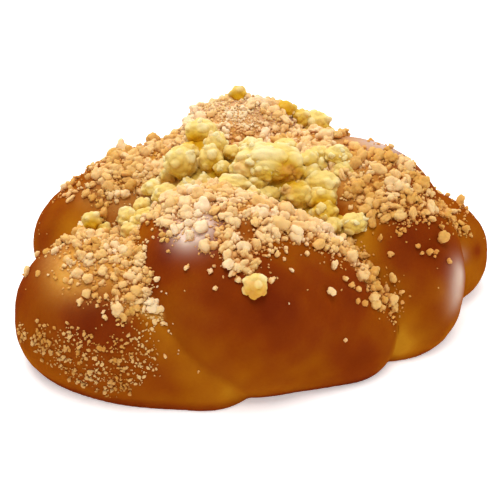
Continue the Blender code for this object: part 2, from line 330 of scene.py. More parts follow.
def to_dough(points):
    """Distance to the loaf, direction away from it, and how much further the next rope is."""
    ropes = [to_rope(points, beads) for beads in DOUGH.values()]
    distance, direction = ropes[0]
    for rope in ropes[1:]:
        distance, direction = blend((distance, direction), rope, FILLET)
    nearest, next_nearest = np.sort([rope[0] for rope in ropes], axis=0)[:2]
    length = np.maximum(np.linalg.norm(direction, axis=1), 1e-9)
    return distance, direction / length[:, None], next_nearest - nearest


# %% [markdown]
# A rope's surface has two parameters: how far along it, and how far round. The ropes are swept
# as rings of points, the ends closed by shrinking rings, and Blender's Remesh modifier bakes
# them together. Every vertex is then moved along the direction away from the dough until its
# distance is nothing, which takes the modifier's own grain out again.

# %% Sweeping and baking together
AROUND = 40
DOME_TURNS = (75, 50, 25)  # degrees from the side of the rings that close an end
CRUST_GRAIN = 0.81
SETTLING_STEPS = 5


def swept(beads, bottom_share=None):
    """Rings round a rope: middle + radius (cos a, side + sin a, up), with domed ends.

    With bottom_share the middles are lowered to that share of the radius above the tray, which
    gives the sagged lower half of the rope."""
    beads = beads.copy()
    if bottom_share:
        beads[:, 2] = np.minimum(beads[:, 2], bottom_share * beads[:, 3])
    turn = np.radians(DOME_TURNS)[:, None]
    ends = []
    for end, inner in ((beads[0], beads[1]), (beads[-1], beads[-2])):
        out = (end - inner)[:3] / np.linalg.norm((end - inner)[:3])
        dome = np.hstack([end[:3] + out * end[3] * np.sin(turn), end[3] * np.cos(turn)])
        ends.append(dome)
    path = np.vstack([ends[0], beads, ends[1][::-1]])
    along = np.gradient(path[:, :3], axis=0)
    side = np.cross(along, (0, 0, 1.0))
    side /= np.linalg.norm(side, axis=1)[:, None]
    up = np.cross(side, along)
    up /= np.linalg.norm(up, axis=1)[:, None]
    angle = np.linspace(0, 2 * math.pi, AROUND, endpoint=False)[None, :, None]
    ring = side[:, None] * np.cos(angle) + up[:, None] * np.sin(angle)
    return path[:, None, :3] + path[:, None, 3:] * ring


def ring_faces(rows, columns, first):
    """Quads between neighbouring rings, as an array of four corner numbers each."""
    corner = first + np.arange(rows * columns).reshape(rows, columns)
    here, there = corner[:-1], corner[1:]
    return np.stack([here, np.roll(here, -1, 1), np.roll(there, -1, 1), there], -1).reshape(-1, 4)


def new_piece(name, points, faces, finish=None):
    """An object whose mesh holds points in millimetres of this frame, faces as lists."""
    mesh = bpy.data.meshes.new(name)
    mesh.from_pydata((points * MM).tolist(), [], faces)
    mesh.validate()
    mesh.shade_smooth()
    piece = bpy.data.objects.new(name, mesh)
    bpy.context.scene.collection.objects.link(piece)
    if finish:
        mesh.materials.append(finish)
    return piece


def ropes_mesh(name):
    """All ropes and the filling in one mesh of separate closed tubes, not yet baked together."""
    points, faces, first = [], [], 0
    sweeps = [swept(beads) for beads in DOUGH.values()]
    sweeps += [swept(beads, SAG) for beads in DOUGH.values()]
    sweeps.append(swept(through(FILLING, BEAD_STEP)))
    for sweep in sweeps:
        rows, columns = sweep.shape[:2]
        points.append(sweep.reshape(-1, 3))
        faces += ring_faces(rows, columns, first).tolist()
        faces.append(list(range(first + columns - 1, first - 1, -1)))
        last = first + (rows - 1) * columns
        faces.append(list(range(last, last + columns)))
        first += rows * columns
    return new_piece(name, np.vstack(points), faces)


def with_modifier(piece, kind, **settings):
    """Adds a modifier, works it into the mesh and takes it off."""
    modifier = piece.modifiers.new(kind.lower(), kind)
    for key, value in settings.items():
        setattr(modifier, key, value)
    evaluated = piece.evaluated_get(bpy.context.evaluated_depsgraph_get())
    mesh = bpy.data.meshes.new_from_object(evaluated)
    piece.modifiers.clear()
    spent, piece.data = piece.data, mesh
    bpy.data.meshes.remove(spent)
    return piece


def get_points(piece):
    """A mesh's points in millimetres."""
    points = np.empty(len(piece.data.vertices) * 3, np.float32)
    piece.data.vertices.foreach_get("co", points)
    return points.reshape(-1, 3).astype(float) / MM


def set_points(piece, points):
    piece.data.vertices.foreach_set("co", (points * MM).astype(np.float32).ravel())
    piece.data.update()


def keep_outer_skin(piece):
    """Drops every shell but the largest: a hollow sealed inside the dough isn't skin."""
    edges = np.empty(len(piece.data.edges) * 2, np.int32)
    piece.data.edges.foreach_get("vertices", edges)
    edges = edges.reshape(-1, 2)
    label = np.arange(len(piece.data.vertices))
    while True:
        low = np.minimum(label[edges[:, 0]], label[edges[:, 1]])
        before = label.copy()
        np.minimum.at(label, edges[:, 0], low)
        np.minimum.at(label, edges[:, 1], low)
        label = label[label]
        if (label == before).all():
            break
    names, counts = np.unique(label, return_counts=True)
    spare = np.flatnonzero(label != names[counts.argmax()])
    if len(spare):
        bm = bmesh.new()
        bm.from_mesh(piece.data)
        bm.verts.ensure_lookup_table()
        bmesh.ops.delete(bm, geom=[bm.verts[i] for i in spare], context="VERTS")
        bm.to_mesh(piece.data)
        bm.free()


crust = ropes_mesh("loaf_crust")
crust = with_modifier(crust, "REMESH", mode="VOXEL", voxel_size=CRUST_GRAIN * MM,
                      use_smooth_shade=True)
keep_outer_skin(crust)
skin = get_points(crust)
for _ in range(SETTLING_STEPS):
    gap, outward, _ = to_dough(skin)
    skin -= outward * gap[:, None]
furthest = float(np.abs(to_dough(skin)[0]).max())
print("crust:", len(skin), "points, furthest from the dough", round(furthest, 3), "mm")


# %% [markdown]
# ## Unevenness
#
# Proved dough is never a clean shape: it swells in slow waves and its skin is drawn into faint
# wrinkles. A sum of a few dozen plane waves in random directions gives a smooth field that is
# the same on every run. The sole stays flat, where the loaf stood on its tray.

# %% Waves and the sole
def waves(points, length_mm, seed, count=40):
    """Sum of plane waves about length_mm long, in random directions, with a spread of 1."""
    rng = np.random.default_rng(seed)
    ways = rng.normal(size=(count, 3))
    ways /= np.linalg.norm(ways, axis=1)[:, None]
    ways *= 2 * math.pi / (length_mm * rng.uniform(0.7, 1.5, count))[:, None]
    phase = rng.uniform(0, 2 * math.pi, count)
    total = np.zeros(len(points))
    for way, shift in zip(ways, phase):
        total += np.sin(points @ way + shift)
    return total / math.sqrt(count / 2)


def ramp(value, low, high):
    """0 below low, 1 above high, and a smooth rise between them."""
    t = np.clip((value - low) / (high - low), 0, 1)
    return t * t * (3 - 2 * t)


RELIEF = ((0.45, 38), (0.06, 10), (0.02, 3))  # height and length of the waves in millimetres
SOLE_EDGE = 4

_, outward, seam_gap = to_dough(skin)
relief = sum(height * waves(skin, length, seed)
             for seed, (height, length) in enumerate(RELIEF, 1))
skin += outward * (relief * ramp(skin[:, 2], 0, SOLE_EDGE))[:, None]
skin[:, 2] = np.maximum(skin[:, 2], 0)
print("relief spread:", round(float(relief.std()), 2), "mm")

# %% [markdown]
# ## How brown the crust is
#
# Tops near the element bake dark, and egg wash makes them red-brown. Seams that opened as the
# dough swelled were never washed and stay yellow. Low sides are golden to olive. These shares
# are worked out per vertex and stored on the mesh, so that the finish needs no pictures.
#
# No rule says where this one loaf caught more heat, so such places are soft spots on its skin.
# Each has a middle, a reach over which it fades, and a strength. They were picked in the
# photograph, looking through this camera, and where they overlap they add up.

# %% Pale and dark spots, and spots of gloss and painted highlight
PALE = np.array([
    # x, y, height and reach in millimetres, how much paler
    (69.5, 3, 24, 4, 0.5), (71, 0, 17, 4, 0.5), (-45, -24, 39, 14, 0.6), (-42, -34, 38, 12, 0.6),
    (-53, -34, 36, 9, 0.6), (-56, 3, 32, 9, 0.4), (-26, -42, 34, 12, 0.3), (-5, 33, 50, 16, 0.5),
    (76, 0, 12, 7, 0.8), (73, 11, 27, 5, 0.3), (46, -30, 12, 15, 0.15), (40, -32, 24, 9, 0.15),
    (33, -20, 38, 9, 0.4), (-22, -50, 25, 9, 0.15), (0, -56, 12, 16, 0.2), (-28, 20, 40, 16, 0.4),
    (66, -8, 12, 12, 0.2), (36, -12, 42, 8, 0.35), (12, -40, 46, 7, 0.3), (45, -32, 9, 8, 0.5),
])
DARK = np.array([
    # the same, how much darker
    (-24, -38, 40, 14, 0.25), (4, -48, 38, 24, 0.2), (30, -36, 30, 11, 0.2),
    (30, -42, 10, 14, 0.2), (54, -20, 33, 15, 0.2), (-46, -48, 27, 13, 0.3),
    (-66, -24, 26, 14, 0.1), (75, 5.5, 20.5, 3.2, 0.4), (-10, -51, 40, 8, 0.15),
    (-22, -51, 24, 8, 0.15), (50, -29, 20, 9, 0.17),
])
SHEEN = np.array([
    # the same, how strongly the egg wash shines: a coat, and a painted highlight in its colour
    (-16.5, -32.8, 51.2, 7.2, 2.0), (67, -15.5, 24, 6.5, 0.75), (65.5, -20, 19, 6, 0.5),
    (42, 24, 51, 13, 0.6), (68.5, 0, 22, 3.5, 0.6),
])
SPOT_WIDTH = 0.75


def spots(points, rows):
    """Soft spots: strength times exp(-(distance / (SPOT_WIDTH times reach)) squared), added up."""
    total = np.zeros(len(points))
    for x, y, z, reach, much in rows:
        distance_2 = ((points - (x, y, z)) ** 2).sum(axis=1)
        total += much * np.exp(-distance_2 / (reach * SPOT_WIDTH) ** 2)
    return total


# %% [markdown]
# The crumble changes the crust's colour too: under it the skin is shaded and stays pale, and
# flour sifts off it. It fell where the loaf is level and near the middle, inside an ellipse
# round the dip. Where the photograph shows more or less of it than that, a spot adds or takes
# some. CRUMBLY places have more crumbs and BARE places have fewer. In FINER places nearly all
# crumbs are small ones, and in FLOURY places the crust is whitened between them.

# %% Where the crumble fell
CRUMB_SPREAD = (47.0, 42.0)
CRUMB_CENTRE = (2.0, 6.0)
CRUMBLY = np.array([
    # x, y, height and reach in millimetres, how much more crumble
    (-58, -19, 36.4, 5, 0.6), (-49.5, -25, 38.5, 5, 0.7), (-39, -24, 38.4, 6, 0.8),
    (-33, -29, 39.5, 4, 0.6), (-53, -34, 36, 6, 0.2), (-44, -36, 37, 7, 0.3),
    (-36, -38, 37, 4, 0.8), (-37.7, -45, 33, 4, 0.7), (-36, -48, 30, 3, 0.6),
    (-45, -44.5, 32, 4, 0.15), (-32, -44.6, 33, 3.5, 1.2), (-29, -46, 32, 3.5, 1.2),
    (-26, -47, 30, 3, 0.8), (-31, -10, 41, 4, 0.8), (-3, -41, 49, 6, 0.7),
    (0, -46, 45.7, 4, 0.5), (-20, -29, 51, 5, 0.5), (22, -15, 43, 6, 0.7),
    (25.7, -21, 40, 4, 0.7), (28.6, -23.4, 38, 3.5, 0.7), (31.6, -26, 35.4, 3.5, 0.8),
    (34.7, -26.8, 32.4, 3.5, 0.8), (36.7, -29.6, 29.5, 3, 0.7), (38.4, -32.6, 26, 3, 0.5),
    (41, -34, 20, 3.5, 0.2), (43, -7, 46.4, 8, 0.4), (53, -6, 44, 6, 0.5),
    (60, -1, 40.3, 5, 0.6), (66, 3, 34, 5, 0.7), (69.4, 8, 26, 2.5, 0.3),
    (-4, 36, 51, 14, 0.6), (-39, 22, 43, 12, 0.4), (-50, 2, 33, 4, 0.3),
])
BARE = np.array([
    # the same, how much less
    (-25, -37, 45, 6, 1.0), (-16, -45, 44, 8, 1.0), (14, -40, 45, 8, 1.0), (21, -40, 38, 9, 1.0),
    (9, -40, 47, 5, 0.7), (-61, 10, 34, 10, 0.9), (-57.7, 3.8, 32.2, 6, 1.0),
    (-51.5, 8.3, 36, 6, 0.8), (-62, -34, 31, 10, 0.8), (39, -17, 38.5, 7, 1.0),
    (49, -20.6, 35, 10, 1.0), (59, -11, 37, 6, 0.8), (40, 22, 51, 11, 1.0), (32, 24, 52, 8, 0.8),
    (50, 19, 47, 9, 0.8), (-16, -34, 51, 6, 0.7), (-30, -50, 24, 7, 1.0), (-23, -52, 24, 8, 1.0),
    (-53, -1, 30, 5, 1.0), (-57, 0, 31, 5, 1.0), (-15, 49, 50.5, 6, 0.6), (46, 31, 47, 10, 1.0),
    (36, 33, 50, 9, 1.0), (35, -17, 39, 5, 1.0), (38, -22, 34, 5, 1.0), (41, -26, 28, 5, 1.0),
    (32, -12, 42, 4, 1.0),
])
FINER = np.array([
    # the same, how few large crumbs
    (-11, 46, 50, 15, 1.0), (0, 40, 51, 12, 1.0), (-16, -31, 51.5, 10, 0.7),
])
FLOURY = np.array([
    # the same, how much flour on the crust
    (-11, 46, 50, 15, 1.0), (0, 40, 51, 12, 1.0), (-52, -33, 36, 10, 1.0),
    (-44, -35, 37.5, 9, 0.8), (-57, -24, 35, 8, 0.6), (-50, 12, 38.5, 8, 0.4),
    (-42, 8, 38, 9, 0.6), (-35, 3, 38, 8, 0.8),
])


def far_from_middle(x, y):
    """1 on an ellipse round the dip, and more beyond it."""
    return np.hypot((x - CRUMB_CENTRE[0]) / CRUMB_SPREAD[0],
                    (y - CRUMB_CENTRE[1]) / CRUMB_SPREAD[1])


# %% [markdown]
# The bake share starts from an even brown, with slow and quick waves. Flat tops under crumble and
# seams are paler. Low sides are paler too: partly less browned, partly a painted reflection of the
# pale floor. Just above the tray the crust is darkened, a painted shade where the loaf meets the
# floor. The front strand lies over the other two, so its washed skin stays brown up to the seam,
# and the pale dough shows on the strands beside it. on_front says how far each point belongs to
# the front strand: it rises smoothly across the seam, or the colour would change there in a step.

# %% Bake, sheen and flour, stored on the crust
# the second darkens the crust just above the tray: painted shade where the loaf meets the floor
EVEN_BAKE, PAINTED_FOOT_SHADE = 0.62, 0.35
SLOW_WAVES, QUICK_WAVES = 0.055, 0.03
PALER_SEAM, PALER_LOW, PALER_UNDER_CRUMBLE = 0.3, 0.12, 0.3
SEAM_SHARE, SEAM_LESS_ON_FRONT = 0.9, 0.75
PALE_LESS_ON_FRONT = 0.65
EVEN_SHEEN, SHOULDER_SHEEN = 0.006, 0.3
SIFTED = 0.7


def store(piece, name, values):
    """A number for every point of a mesh, which a material can read by name."""
    attribute = piece.data.attributes.new(name, "FLOAT", "POINT")
    attribute.data.foreach_set("value", np.asarray(values, np.float32))


level = outward[:, 2]
flat_top = ramp(level, 0.6, 0.9)
near_dip = 1 - ramp(far_from_middle(skin[:, 0], skin[:, 1]), 0.6, 1.1)
under_crumble = ramp(spots(skin, CRUMBLY) + flat_top * near_dip, 0.1, 0.9)
gaps = {name: to_rope(skin, beads)[0] for name, beads in DOUGH.items()}
on_front = ramp(np.minimum(gaps["right"], gaps["back"]) - gaps["front"], -1.6, 1.6)
seam = (1 - ramp(seam_gap, 1.0, 10)) * (SEAM_SHARE - SEAM_LESS_ON_FRONT * on_front)
pale = spots(skin, PALE) * (1 - PALE_LESS_ON_FRONT * on_front)
pale += PALER_SEAM * seam * (1 - 0.5 * flat_top)

bake = EVEN_BAKE + SLOW_WAVES * waves(skin, 26, 4) + QUICK_WAVES * waves(skin, 8, 5)
bake += spots(skin, DARK) * (1 - under_crumble) - pale
# low sides paler: partly less browned, partly a painted reflection of the pale floor
bake -= PALER_LOW * (1 - ramp(skin[:, 2], 2, 14)) + PALER_UNDER_CRUMBLE * under_crumble
# painted shade: darker just above the tray
bake += PAINTED_FOOT_SHADE * (1 - ramp(skin[:, 2], 0.5, 5))
# the shoulders at the back shine too: a coat and a painted highlight
shoulder = ramp(level, 0.3, 0.8) * ramp(skin[:, 1], 30, 45)

set_points(crust, skin - MIDDLE)
store(crust, "bake", np.clip(bake, 0, 1))
# sheen: where the coat shines and a painted highlight lightens the crust's colour
store(crust, "sheen", EVEN_SHEEN + spots(skin, SHEEN) + SHOULDER_SHEEN * shoulder)
store(crust, "floury", np.clip(SIFTED * under_crumble + spots(skin, FLOURY), 0, 1))
print("bake share from", round(float(bake.min()), 2), "to", round(float(bake.max()), 2))

# %% [markdown]
# Egg wash bakes to a thin brown glaze on a crust that lets a little light in. The finish looks
# the bake share up along a row of browns, from yellow dough to dark crust, after clouds and
# flecks of noise have broken it up, and lays the flour over it. Where the sheen is high it adds
# a coat, and it also mixes the colour towards a pale, warm grey: a painted highlight, which gives
# the broad and dull gleam of bread rather than the small, sharp one of a coat alone.

# %% Crust finish
crust_finish = Finish("egg_washed_crust", Coat_Roughness=0.3, Coat_IOR=1.5, IOR=1.45,
                      Specular_IOR_Level=0.0, Subsurface_Weight=0.1, Subsurface_Scale=0.002,
                      Subsurface_Radius=(1.0, 0.35, 0.08))
cloud = crust_finish.noise(12, 3, 0.5)
fleck = crust_finish.noise(0.9, 3, 0.6)
share = (crust_finish.attribute("bake") + (cloud - 0.5) * 0.22 + (fleck - 0.5) * 0.12).clamped()
crust_colour = crust_finish.ramp(share, [
    (0.0, srgb(184, 122, 20)), (0.25, srgb(162, 93, 6)), (0.5, srgb(143, 71, 1)),
    (0.75, srgb(127, 49, 1)), (1.0, srgb(108, 33, 0))])
flour = (crust_finish.attribute("floury") * (fleck + 0.25) * 0.8).clamped()
crust_colour = crust_finish.mix(flour, crust_colour, srgb(220, 162, 84))
gloss_and_painted_sheen = crust_finish.attribute("sheen")
painted_gleam = (gloss_and_painted_sheen * 0.9 * (cloud + 0.5)).clamped()
# painted highlight: the colour mixed towards a pale, warm grey where the sheen is high
crust_colour = crust_finish.mix(painted_gleam, crust_colour, srgb(230, 206, 188))
pores = crust_finish.noise(0.7, 4, 0.6) + crust_finish.noise(3.5, 2, 0.5)
crust_finish.feed(
    Base_Color=crust_colour,
    Roughness=0.5 + (fleck - 0.5) * 0.2,
    Coat_Weight=(gloss_and_painted_sheen * 0.3 * (cloud + 0.5)).clamped(),
    Normal=crust_finish.bump(pores, 0.08))
crust.data.materials.append(crust_finish.material)

# %% [markdown]
# ## The heap of crumble
#
# Butter, flour and sugar are rubbed into lumps that look like small cauliflowers: a ball grown
# over with knobs, and those with smaller knobs. Hundreds of balls joined by Remesh would make
# them too, with rounded creases. Here a lump is one icosphere whose points are pushed out by
# round caps, large ones and small ones, so the creases between knobs stay sharp. Neighbouring
# lumps overlap, as pressed crumble does.
#
# The lumps that stand out in the photograph were marked in it and carried into the dip
# through this camera. Smaller ones fill in between by a seeded rule, and all sit on a core.

# %% Lumps and fillers
HEAP_CORE = {
    "middle": [(-23, 14, 36, 8), (-8, 12, 38, 12), (6, 10, 38, 14), (21, 5, 38, 11)],
    "left": [(-22, 10, 33, 8), (-35, 1, 31, 6)],
    "right": [(18, 0, 37, 8), (29, -10, 37, 6)],
    "behind left": [(-14, 16, 42, 8), (-16, 26, 48, 6)],
    "far right": [(18, 8, 42, 8), (27, 12, 46, 5)],
}
CORE = np.vstack([through(places, 1.5) for places in HEAP_CORE.values()])
LUMPS = np.array([
    # x, y, height, half width, half depth, half height
    (-22.1, 12.0, 49.7, 5.6, 5.1, 5.4),
    (-11.1, 17.0, 53.1, 3.8, 3.5, 4.5),
    (-12.5, 12.5, 50.1, 4.3, 3.9, 5.1),
    (-16.0, 27.0, 52.8, 5.7, 4.8, 4.6),
    (-6.1, 14.0, 52.2, 2.4, 2.2, 2.2),
    (5.5, 7.0, 51.4, 11.7, 7.8, 7.2),
    (4.4, 1.0, 52.1, 3.9, 3.3, 3.0),
    (2.3, 0.0, 48.6, 3.2, 2.6, 2.4),
    (18.9, 8.0, 52.3, 3.2, 2.9, 3.2),
    (19.5, 5.0, 48.9, 3.3, 3.0, 3.2),
    (21.8, 11.5, 52.8, 2.8, 2.5, 2.4),
    (27.7, 10.0, 53.0, 4.3, 3.5, 3.2),
    (29.6, 6.0, 49.7, 3.8, 3.4, 3.1),
    (22.8, 2.0, 46.9, 5.8, 5.0, 4.6),
    (22.6, -3.0, 44.3, 5.2, 4.3, 4.0),
    (23.0, -8.0, 42.0, 4.4, 4.0, 3.8),
    (14.4, -3.0, 45.8, 5.2, 4.2, 3.9),
    (5.7, -3.0, 45.8, 3.9, 2.9, 2.6),
    (-6.0, -1.0, 48.1, 6.8, 3.2, 2.9),
    (-19.5, 5.0, 44.4, 3.1, 2.8, 2.7),
    (-14.5, 6.0, 45.5, 2.6, 2.2, 2.1),
    (-26.7, 5.0, 41.4, 4.8, 4.1, 3.8),
    (-31.5, 9.0, 41.6, 3.2, 2.8, 2.6),
    (-32.9, -2.0, 35.3, 4.8, 4.5, 4.7),
    (-37.7, -5.0, 34.3, 3.1, 2.8, 2.6),
    (31.9, -13.0, 41.5, 4.3, 3.6, 3.3),
    (1.0, 21.0, 49.5, 4.6, 4.0, 3.6),
    (11.5, 20.0, 50.0, 4.8, 4.2, 3.8),
])
# two small lumps that close a gap at the right of the heap
CREVICE_LUMPS = np.array([(24.2, 11.2, 50.6, 2.7, 2.6, 2.4), (22.2, 8.6, 50.4, 2.3, 2.3, 2.1)])
FILLERS = 20
FILLER_TRIES = 900
FILLER_RADII = (3.2, 1.9)
FILLER_FIELD = {"x": (-42, 38), "y": (-20, 28)}
FILLER_APART = 0.85


def top_of(beads, x, y):
    """Height of a row of balls over each place, and how level their skin is there."""
    reach = beads[:, 3] ** 2 - (x[:, None] - beads[:, 0]) ** 2 - (y[:, None] - beads[:, 1]) ** 2
    height = np.where(reach > 0, beads[:, 2] + np.sqrt(np.maximum(reach, 0)), -99.0)
    best = height.argmax(axis=1)
    top = height[np.arange(len(x)), best]
    return top, (top - beads[best, 2]) / beads[best, 3]


def crust_top(x, y):
    """Height of the loaf over each place, how level it is, and how far the next strand is below."""
    tops, levels = zip(*(top_of(beads, x, y) for beads in DOUGH.values()))
    tops, levels = np.array(tops), np.array(levels)
    order = np.argsort(-tops, axis=0)
    columns = np.arange(len(x))
    height = tops[order[0], columns]
    return height, levels[order[0], columns], height - tops[order[1], columns]


def filler_places():
    """Smaller lumps over the heap's core, largest first, in the gaps that the list leaves."""
    rng = np.random.default_rng(SEED)
    x = rng.uniform(*FILLER_FIELD["x"], FILLER_TRIES)
    y = rng.uniform(*FILLER_FIELD["y"], FILLER_TRIES)
    share = np.arange(FILLER_TRIES) / FILLER_TRIES
    radius = FILLER_RADII[0] + (FILLER_RADII[1] - FILLER_RADII[0]) * share
    z, slope = top_of(CORE, x, y)
    shows = (z > crust_top(x, y)[0] - 1.0) & (slope > 0.3)
    lumps = [(row[:3], row[3:].sum() / 3) for row in LUMPS]
    for i in np.flatnonzero(shows):
        place = (x[i], y[i], z[i])
        if all(math.dist(place, other) > FILLER_APART * (radius[i] + size)
               for other, size in lumps):
            lumps.append((place, radius[i]))
        if len(lumps) == len(LUMPS) + FILLERS:
            break
    return [(*place, size, size, size) for place, size in lumps[len(LUMPS):]]


FILLER_LUMPS = np.array(filler_places())
print(len(LUMPS), "lumps by eye and", len(FILLER_LUMPS), "by rule")


# %% Spheres to start from
def icosphere(fineness):
    """Unit icosphere as arrays: an icosahedron whose faces are split and pushed out."""
    bm = bmesh.new()
    bmesh.ops.create_icosphere(bm, subdivisions=fineness, radius=1)
    points = np.array([vert.co[:] for vert in bm.verts])
    faces = np.array([[vert.index for vert in face.verts] for face in bm.faces])
    bm.free()
    return points, faces


def spread(count, rng, stray):
    """Directions spread over a ball by the golden angle, turned at random, each a little astray."""
    index = np.arange(count) + 0.5
    polar = np.arccos(1 - 2 * index / count)
    around = math.pi * (1 + 5 ** 0.5) * index + rng.uniform(0, 2 * math.pi)
    ways = np.stack([np.cos(around) * np.sin(polar), np.sin(around) * np.sin(polar),
                     np.cos(polar)], 1)
    ways = ways @ np.linalg.qr(rng.normal(size=(3, 3)))[0] + rng.normal(size=(count, 3)) * stray
    return ways / np.linalg.norm(ways, axis=1)[:, None]


def turns(count, rng):
    """Random rotations as an array of 3 by 3 matrices, from unit quaternions."""
    quaternions = rng.normal(size=(4, count))
    w, x, y, z = quaternions / np.linalg.norm(quaternions, axis=0)
    return np.stack([
        np.stack([1 - 2 * (y * y + z * z), 2 * (x * y - z * w), 2 * (x * z + y * w)], -1),
        np.stack([2 * (x * y + z * w), 1 - 2 * (x * x + z * z), 2 * (y * z - x * w)], -1),
        np.stack([2 * (x * z - y * w), 2 * (y * z + x * w), 1 - 2 * (x * x + y * y)], -1)], 1)


# %% [markdown]
# A crumb is an icosphere with a few knobs, drawn in and out by chance, squashed and turned. Two
# dozen such nuggets are made once for a piece, and every crumb is one of them at its own size
# and turn; all points are worked out as one array.
#
# Each crumb has one tone, from pale to toasted: it drifts in slow waves, is browner towards the
# two ends of the loaf, where the crumble lies thin, paler in the FINER places, and lightened as a
# painted highlight where the egg wash shines. Its lift, the height over the crust, lets the
# finish paint shade on the foot that sits in the crust.

# %% Nuggets
NUGGET_KINDS = 24
NUGGET_BODY, KNOB_RISE, NUGGET_STRAY = 0.6, 0.5, 0.06
SQUASH = (0.6, 1.4)
LOWEST_POINT = 0.2
TONE, TONE_WAVES, TONE_STRAY = 0.45, 0.2, 0.14
LEFT_TOAST, RIGHT_TOAST, END_FROM, END_TO = 0.25, 0.45, 20, 40
TOASTED = [(-52, 5, 36, 9, 0.4)]  # a soft spot of browner crumbs low at the left
# crumbs are lightened as a painted highlight where the egg wash shines, and made paler in the FINER
# places, where their feet also get less painted shade
PAINTED_GLEAM_ON_CRUMBS, PALER_IN_FINER, LIGHTER_FEET = 0.4, 0.2, 0.8


def tone_of(places, rng):
    """How toasted each crumb is: waves and chance, browner ends, paler in the FINER places, and a
    painted highlight where the crust shines.
    """
    x = places[:, 0]
    tone = TONE + TONE_WAVES * waves(places, 9, 24)
    tone += rng.uniform(-TONE_STRAY, TONE_STRAY, len(places))
    tone += LEFT_TOAST * ramp(-x, END_FROM, END_TO) + RIGHT_TOAST * ramp(x, END_FROM, END_TO)
    tone += spots(places, TOASTED)
    return tone - PAINTED_GLEAM_ON_CRUMBS * spots(places, SHEEN) - PALER_IN_FINER * spots(places, FINER)


def nuggets(name, places, fineness, seed, finish, knobs_each):
    """Crumbs at places (x, y, z, radius): balls with knobs, drawn in and out by chance."""
    rng = np.random.default_rng(seed)
    unit, faces = icosphere(fineness)
    shapes = []
    for _ in range(NUGGET_KINDS):
        nearness = (unit @ spread(knobs_each, rng, 0.35).T).max(axis=1)
        radius = NUGGET_BODY + KNOB_RISE * ramp(nearness, 0.6, 1.0)
        radius += rng.uniform(-NUGGET_STRAY, NUGGET_STRAY, len(unit))
        shapes.append(unit * radius[:, None] * rng.uniform(*SQUASH, 3))
    shapes = np.array(shapes)[rng.integers(0, NUGGET_KINDS, len(places))]
    shapes = np.einsum("nij,npj->npi", turns(len(places), rng), shapes)
    points = places[:, None, :3] + places[:, None, 3:] * shapes
    points[:, :, 2] = np.maximum(points[:, :, 2], LOWEST_POINT)
    corners = points.reshape(-1, 3)
    first = np.arange(len(places))[:, None, None] * len(unit)
    piece = new_piece(name, corners - MIDDLE, (faces[None] + first).reshape(-1, 3).tolist(),
                      finish)
    store(piece, "tone", np.repeat(tone_of(places[:, :3], rng), len(unit)))
    # in the FINER places the feet get less painted shade
    lighter_feet = LIGHTER_FEET * np.minimum(spots(corners, FINER), 1)
    store(piece, "lift", to_dough(corners)[0] + lighter_feet)
    return piece, len(unit)


# %% Knobs on knobs
LUMP_BODY = 0.9
BULKY = 5
LUMP_STRAY, LUMP_WAVES = 0.03, 0.13


def grown_over(unit, size, rng):
    """How far large and small knobs stand out of a lump in each direction, in millimetres.

    A knob is a round cap: its height is share times radius times sqrt(1 - t * t), where t is the
    way from its middle in radii. Where caps overlap, the higher one counts."""
    mean = size.mean()
    bulky = mean > BULKY
    # count, smallest and largest radius in millimetres, share of the radius that stands out
    large = (5 + 1.6 * mean, 0.24 * mean, 0.46 * mean, 0.32 if bulky else 0.5)
    small = (8 + 7 * mean, 0.7, 1.5, 0.2 if bulky else 0.3)
    stands = []
    for count, low, high, share in (large, small):
        cap = np.zeros(len(unit))
        for way in spread(int(count), rng, 0.25):
            radius = rng.uniform(low, high)
            turn = np.arccos(np.clip(unit @ way, -1, 1)) * mean / radius
            cap = np.maximum(cap, share * radius * np.sqrt(np.clip(1 - turn ** 2, 0, 1)))
        stands.append(cap)
    return stands


def grown_lump(lump, rng):
    """One lump as (points, faces, how far each direction turns to the side, and how deep it dips),
    the last two for painted shade.
    """
    centre, size = lump[:3], lump[3:]
    mean = size.mean()
    unit, faces = icosphere(6 if mean > 7 else 5 if mean > 3.3 else 4)
    large, small = grown_over(unit, size, rng)
    stands = large + small + rng.uniform(-LUMP_STRAY, LUMP_STRAY, len(unit))
    stands += LUMP_WAVES * waves(centre + unit * mean, 2.4, 51)
    points = centre + unit * (size * LUMP_BODY + stands[:, None])
    # painted side shade: strongest on faces towards the front, back and down
    painted_side_shade = np.abs(unit[:, 1]) - 0.45 * unit[:, 2]
    # painted shade in the dips between the large knobs
    return points, faces, painted_side_shade, 1 - large / max(large.max(), 1e-9)


heap_rng = np.random.default_rng(SEED)
heap_lumps = np.vstack([LUMPS, FILLER_LUMPS, CREVICE_LUMPS])
heap_parts = [grown_lump(lump, heap_rng) for lump in heap_lumps]
print("heap:", len(heap_parts), "lumps")

# %% Lumps into pieces, with what their painted shade depends on
PAINTED_SHADE_SPOTS = np.array([
    # x, y, height and reach in millimetres: where painted shade makes the lumps yellowest
    (12.5, -0.5, 51.5, 5.6), (-22.5, 7.5, 45.0, 2.0), (-9.5, 9.5, 48.0, 3.2),
    (11.7, 47.5, 50, 5.0), (24, 45.5, 42, 4), (-4, 52, 52, 4), (-50, -2, 32, 3.5),
    (2, -53, 40, 3.2), (-19.0, 22.0, 50.6, 3.6), (22.8, -6.5, 42.6, 4.5),
    (31.5, -4.5, 44.5, 3.4), (27.0, 10.0, 47.5, 3.5), (-33.0, -1.0, 36.0, 3.0),
])


def joined(name, parts):
    """One piece from several (points, faces, ...) parts."""
    first = np.cumsum([0] + [len(part[0]) for part in parts[:-1]])
    points = np.vstack([part[0] for part in parts]) - MIDDLE
    faces = np.vstack([part[1] + start for part, start in zip(parts, first)])
    return new_piece(name, points, faces.tolist())


